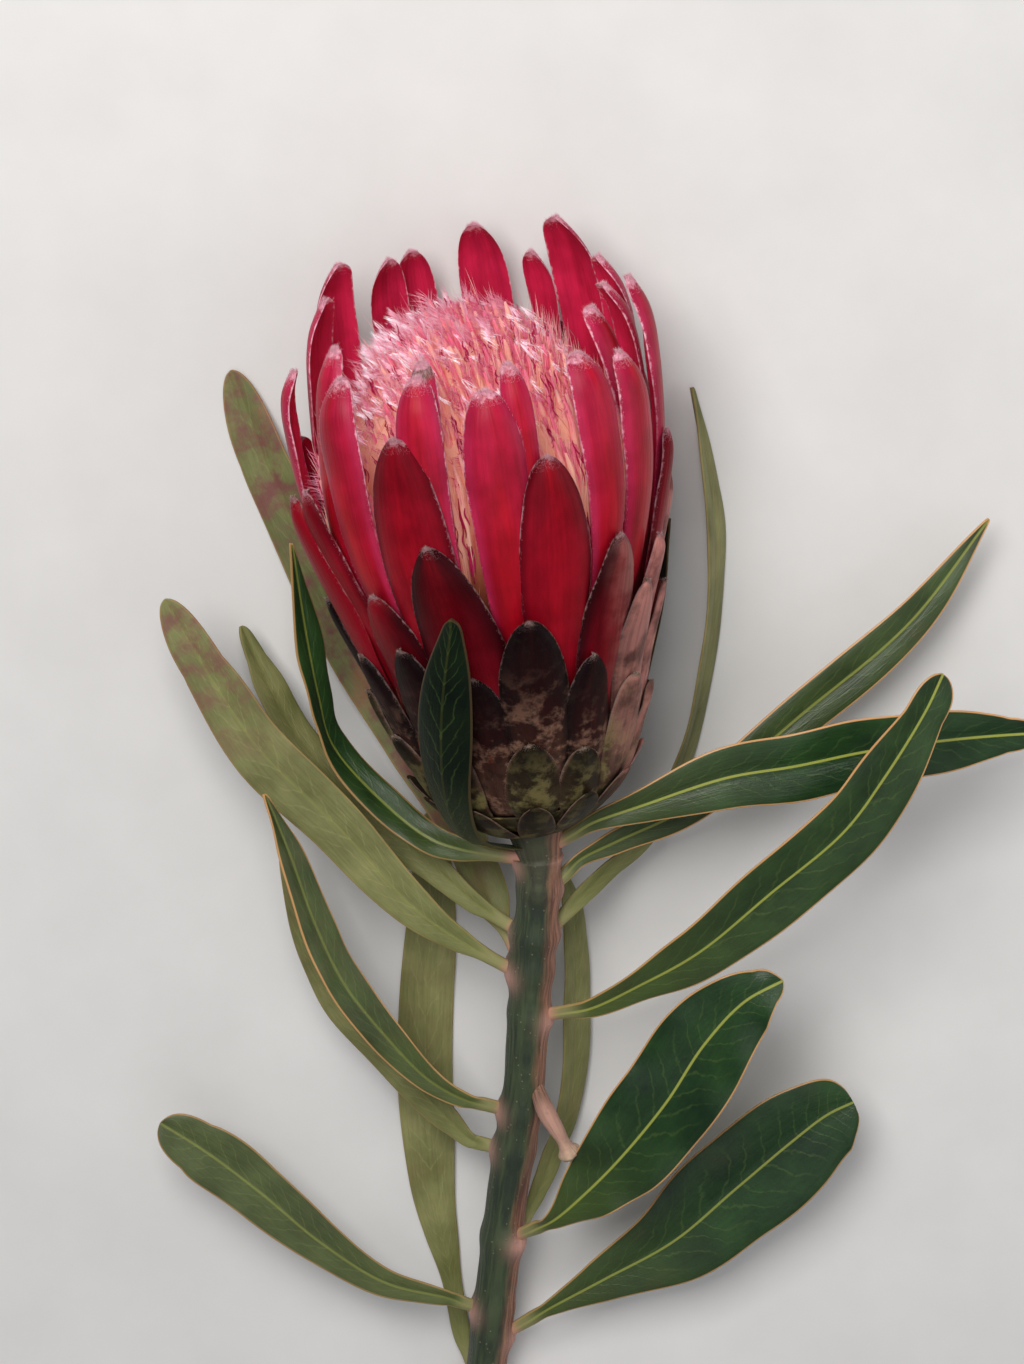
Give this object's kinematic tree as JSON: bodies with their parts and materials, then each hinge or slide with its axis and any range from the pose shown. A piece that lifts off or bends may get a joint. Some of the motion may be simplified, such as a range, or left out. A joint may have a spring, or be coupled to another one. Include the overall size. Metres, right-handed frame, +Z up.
{
  "type": "protea flower",
  "caption": "Cut protea flower lying on its side: a goblet of pink to dark red bracts round a dome of hairy florets, on a leafy woody stem.",
  "frame": {"origin": "middle of the flower's box, on the surface that it lies on", "axes": "+Z up off the surface; +Y along the flower from the stem's cut end to the bract tips; +X to its right seen from above"},
  "size_m": [0.1696, 0.2428, 0.0712],
  "materials": {
    "stem": "matte",
    "floret": "matte",
    "bract_pink": "satin",
    "bract_crimson": "satin",
    "bract_red": "satin",
    "bract_dark": "satin",
    "bract_scale": "matte",
    "leaf_young": "satin",
    "leaf": "satin"
  },
  "bodies": {
    "root": {"stem": "stem", "florets": "floret", "bracts_inner": "bract_pink", "bracts_middle": "bract_crimson", "bracts_lower": "bract_red", "bracts_dark": "bract_dark", "bracts_base": "bract_scale", "leaf_front_bud": "leaf_young", "leaf_back_bud": "leaf_young", "leaf_a": "leaf", "leaf_b": "leaf", "leaf_c": "leaf", "leaf_d": "leaf", "leaf_e": "leaf", "leaf_f": "leaf", "leaf_g": "leaf", "leaf_h": "leaf", "leaf_i": "leaf", "leaf_j": "leaf", "leaf_k": "leaf", "leaf_m": "leaf", "leaf_n": "leaf", "leaf_o": "leaf", "leaf_p": "leaf"}
  },
  "joints": []
}
